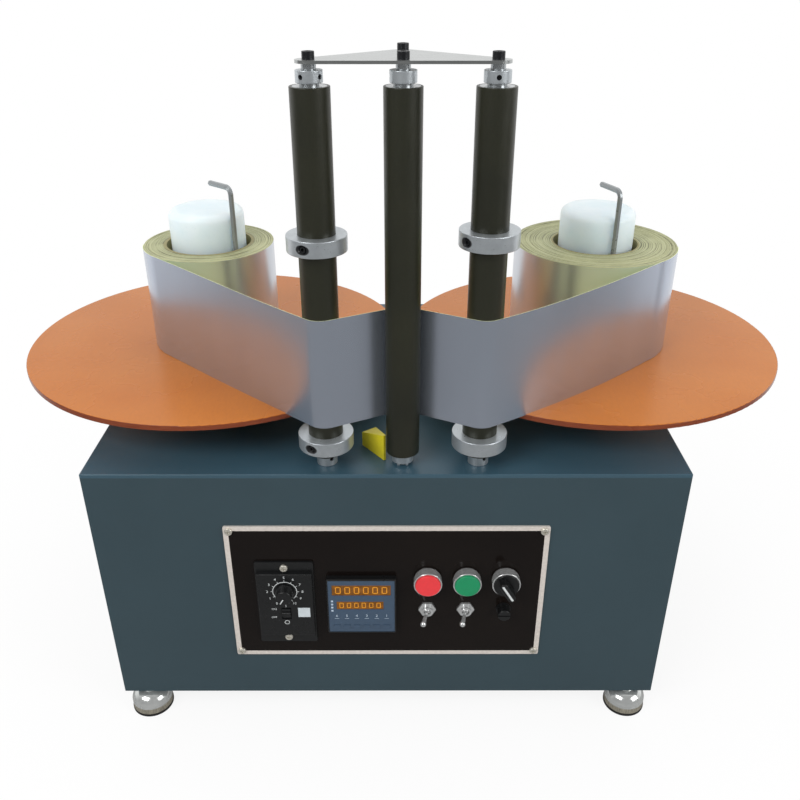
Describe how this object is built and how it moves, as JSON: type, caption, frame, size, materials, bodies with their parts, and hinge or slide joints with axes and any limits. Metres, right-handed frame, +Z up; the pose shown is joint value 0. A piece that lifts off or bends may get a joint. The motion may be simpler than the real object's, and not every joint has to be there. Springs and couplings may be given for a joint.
{
  "type": "label rewinder",
  "caption": "Bench label rewinder: a sheet-metal cabinet with a control panel carries two motorised discs with core chucks and a tower of guide rollers for the web.",
  "frame": {"origin": "centre of the bounding box's base, on the bench midway between the two reels", "axes": "+Z up, +X to the operator's right, the control panel faces -Y"},
  "size_m": [0.8429, 0.4928, 0.6955],
  "materials": {
    "cabinet_paint": "fine-texture slate blue-grey enamel",
    "phenolic": "orange-brown phenolic laminate, satin",
    "nylon": "translucent white nylon",
    "core_paper": "wound paper tube",
    "label_stock": "wound label stock, pale yellow-green edges",
    "web_film": "metallised label web, mirror-like outside",
    "tube_black": "dark olive-black anodised",
    "satin_aluminium": "satin turned aluminium",
    "bright_steel": "turned steel",
    "plate_steel": "sheet steel",
    "black_screws": "blackened steel",
    "bright_screws": "nickel plated",
    "cast_housing": "machined casting",
    "motor_paint": "dark motor enamel",
    "sensor_yellow": "yellow moulded plastic",
    "panel_black": "glossy brown-black film with a pale border",
    "black_plastic": "moulded black plastic",
    "counter_blue": "slate-blue front film",
    "chrome_trim": "bright chrome",
    "stop_red": "red moulded plastic",
    "start_green": "green moulded plastic",
    "foot_steel": "plated domed steel on a black rubber pad"
  },
  "bodies": {
    "cabinet": {"cabinet_deck": "cabinet_paint", "cabinet_front": "cabinet_paint", "cabinet_sides": "cabinet_paint", "rear_cover": "cabinet_paint", "base_plate": "cabinet_paint", "cover_screws": "bright_screws", "cable_gland": "black_plastic", "bearing_housings": "cast_housing", "housing_bolts": "black_screws", "bearings": "bright_steel", "gearmotors": "motor_paint", "motor_standoffs": "bright_steel", "posts": "bright_steel", "post_nuts": "bright_screws", "shaft_collars": "satin_aluminium", "collar_screws": "black_screws", "top_plate": "plate_steel", "top_bolts": "black_screws", "pulse_sensor": "sensor_yellow", "label_web": "web_film", "control_panel": "panel_black", "panel_screws": "bright_screws", "speed_controller": "black_plastic", "counter_case": "black_plastic", "counter_face": "counter_blue", "button_bezels": "chrome_trim", "selector_bezel": "chrome_trim", "toggle_bodies": "chrome_trim", "fuse_holder": "black_plastic"},
    "left_reel": {"left_spindle": "bright_steel", "left_disc": "phenolic", "left_chuck": "nylon", "left_core": "core_paper", "left_label_roll": "label_stock"},
    "right_reel": {"right_spindle": "bright_steel", "right_disc": "phenolic", "right_chuck": "nylon", "right_core": "core_paper", "right_label_roll": "label_stock"},
    "left_pin": {"left_lock_pin": "bright_steel"},
    "right_pin": {"right_lock_pin": "bright_steel"},
    "left_roller": {"left_roller_tube": "tube_black"},
    "centre_roller": {"centre_roller_tube": "tube_black", "pulse_wheel": "satin_aluminium"},
    "right_roller": {"right_roller_tube": "tube_black"},
    "left_upper_guide": {"left_upper_collar": "satin_aluminium"},
    "left_lower_guide": {"left_lower_collar": "satin_aluminium"},
    "right_upper_guide": {"right_upper_collar": "satin_aluminium"},
    "right_lower_guide": {"right_lower_collar": "satin_aluminium"},
    "speed_dial": {"speed_knob": "black_plastic"},
    "run_stop_rocker": {"run_stop_switch": "black_plastic"},
    "stop_button": {"stop_button_cap": "stop_red"},
    "start_button": {"start_button_cap": "start_green"},
    "selector": {"selector_knob": "black_plastic"},
    "left_toggle": {"left_toggle_lever": "chrome_trim"},
    "right_toggle": {"right_toggle_lever": "chrome_trim"},
    "front_left_foot": {"front_left_foot": "foot_steel"},
    "front_right_foot": {"front_right_foot": "foot_steel"},
    "rear_left_foot": {"rear_left_foot": "foot_steel"},
    "rear_right_foot": {"rear_right_foot": "foot_steel"}
  },
  "joints": [
    {"name": "right_reel_spin", "type": "hinge", "parent": "cabinet", "child": "right_reel", "pos_m": [0.212, 0.00238, 0.363], "axis": [0, 0, 1], "continuous": true},
    {"name": "left_reel_spin", "type": "hinge", "parent": "cabinet", "child": "left_reel", "pos_m": [-0.212, 0.00238, 0.363], "axis": [0, 0, 1], "continuous": true},
    {"name": "left_roller_spin", "type": "hinge", "parent": "cabinet", "child": "left_roller", "pos_m": [-0.074, -0.19362, 0.334], "axis": [0, 0, 1], "continuous": true},
    {"name": "centre_roller_spin", "type": "hinge", "parent": "cabinet", "child": "centre_roller", "pos_m": [0, -0.19362, 0.334], "axis": [0, 0, 1], "continuous": true},
    {"name": "right_roller_spin", "type": "hinge", "parent": "cabinet", "child": "right_roller", "pos_m": [0.074, -0.19362, 0.334], "axis": [0, 0, 1], "continuous": true},
    {"name": "left_pin_lift", "type": "slide", "parent": "left_reel", "child": "left_pin", "axis": [0, 0, 1], "range_m": [0, 0.12]},
    {"name": "right_pin_lift", "type": "slide", "parent": "right_reel", "child": "right_pin", "axis": [0, 0, 1], "range_m": [0, 0.12]},
    {"name": "left_upper_guide_slide", "type": "slide", "parent": "left_roller", "child": "left_upper_guide", "axis": [0, 0, 1], "range_m": [-0.052, 0.117]},
    {"name": "left_lower_guide_slide", "type": "slide", "parent": "left_roller", "child": "left_lower_guide", "axis": [0, 0, 1], "range_m": [-0.006, 0.012]},
    {"name": "right_upper_guide_slide", "type": "slide", "parent": "right_roller", "child": "right_upper_guide", "axis": [0, 0, 1], "range_m": [-0.056, 0.113]},
    {"name": "right_lower_guide_slide", "type": "slide", "parent": "right_roller", "child": "right_lower_guide", "axis": [0, 0, 1], "range_m": [-0.006, 0.012]},
    {"name": "speed_turn", "type": "hinge", "parent": "cabinet", "child": "speed_dial", "pos_m": [-0.121, -0.22662, 0.1837], "axis": [0, 1, 0], "range_deg": [0, 300]},
    {"name": "run_stop_tip", "type": "hinge", "parent": "cabinet", "child": "run_stop_rocker", "pos_m": [-0.121, -0.22412, 0.1542], "axis": [1, 0, 0], "range_deg": [-16, 0]},
    {"name": "stop_button_press", "type": "slide", "parent": "cabinet", "child": "stop_button", "axis": [0, 1, 0], "range_m": [0, 0.003], "stiffness_N_per_m": 500, "springref_m": -0.003},
    {"name": "start_button_press", "type": "slide", "parent": "cabinet", "child": "start_button", "axis": [0, 1, 0], "range_m": [0, 0.003], "stiffness_N_per_m": 500, "springref_m": -0.003},
    {"name": "selector_turn", "type": "hinge", "parent": "cabinet", "child": "selector", "pos_m": [0.1057, -0.23062, 0.195], "axis": [0, 1, 0], "range_deg": [0, 62]},
    {"name": "left_toggle_throw", "type": "hinge", "parent": "cabinet", "child": "left_toggle", "pos_m": [0.0258, -0.22287, 0.155], "axis": [0, 0, 1], "range_deg": [0, 25]},
    {"name": "right_toggle_throw", "type": "hinge", "parent": "cabinet", "child": "right_toggle", "pos_m": [0.066, -0.22287, 0.155], "axis": [0, 0, 1], "range_deg": [0, 25]},
    {"name": "front_left_foot_screw", "type": "slide", "parent": "cabinet", "child": "front_left_foot", "axis": [0, 0, -1], "range_m": [0, 0.012]},
    {"name": "front_right_foot_screw", "type": "slide", "parent": "cabinet", "child": "front_right_foot", "axis": [0, 0, -1], "range_m": [0, 0.012]},
    {"name": "rear_left_foot_screw", "type": "slide", "parent": "cabinet", "child": "rear_left_foot", "axis": [0, 0, -1], "range_m": [0, 0.012]},
    {"name": "rear_right_foot_screw", "type": "slide", "parent": "cabinet", "child": "rear_right_foot", "axis": [0, 0, -1], "range_m": [0, 0.012]}
  ],
  "couplings": [
    {"joint": "left_reel_spin", "follows": "right_reel_spin", "ratio": 1.25},
    {"joint": "left_roller_spin", "follows": "right_reel_spin", "ratio": 5.303},
    {"joint": "right_roller_spin", "follows": "right_reel_spin", "ratio": 5.303},
    {"joint": "centre_roller_spin", "follows": "right_reel_spin", "ratio": -5.4688}
  ]
}
